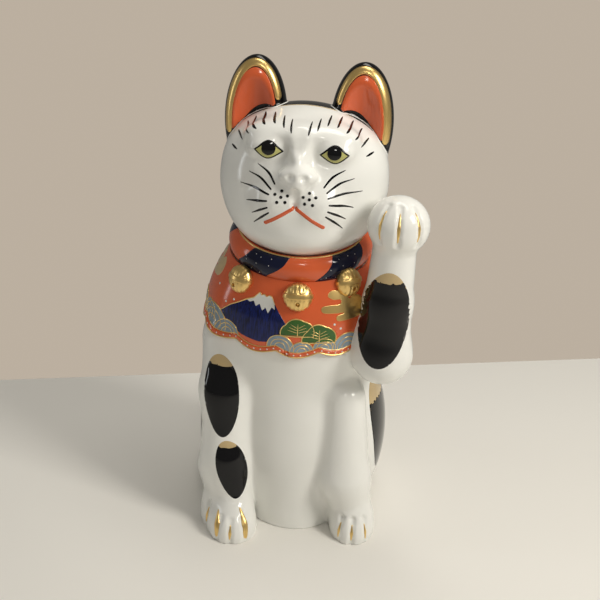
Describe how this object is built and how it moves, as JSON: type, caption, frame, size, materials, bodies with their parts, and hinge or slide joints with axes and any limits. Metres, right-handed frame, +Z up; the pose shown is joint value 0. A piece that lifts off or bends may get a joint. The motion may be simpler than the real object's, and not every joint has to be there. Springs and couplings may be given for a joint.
{
  "type": "beckoning cat figurine",
  "caption": "Seated glazed porcelain cat with one paw raised beside its cheek, a rolled collar with bells and a scalloped bib.",
  "frame": {"origin": "centre of the foot, on the surface that the figure stands on", "axes": "+Z up; the cat faces -Y; +X is the cat's left, the side of the raised paw"},
  "size_m": [0.1218, 0.1233, 0.2584],
  "materials": {
    "porcelain": "clear gloss glaze over white porcelain",
    "red_enamel": "glossy overglaze enamel",
    "black_enamel": "glossy overglaze enamel",
    "blue_enamel": "glossy overglaze enamel",
    "green_enamel": "glossy overglaze enamel",
    "white_enamel": "raised glossy enamel",
    "gilding": "bright fired gilding on glaze",
    "yellow_enamel": "glossy overglaze enamel, on the eyes",
    "tan_enamel": "thin glossy overglaze wash, at the tips of the spots",
    "wave_enamel": "pale glossy overglaze enamel"
  },
  "bodies": {
    "root": {"torso": "porcelain", "head": "porcelain", "right_ear": "porcelain", "left_ear": "porcelain", "raised_arm": "porcelain", "tail": "porcelain", "bib": "red_enamel", "collar": "red_enamel", "bell_1": "gilding", "bell_2": "gilding", "bell_3": "gilding", "bell_4": "gilding", "bell_5": "gilding", "bell_6": "gilding"}
  },
  "joints": []
}
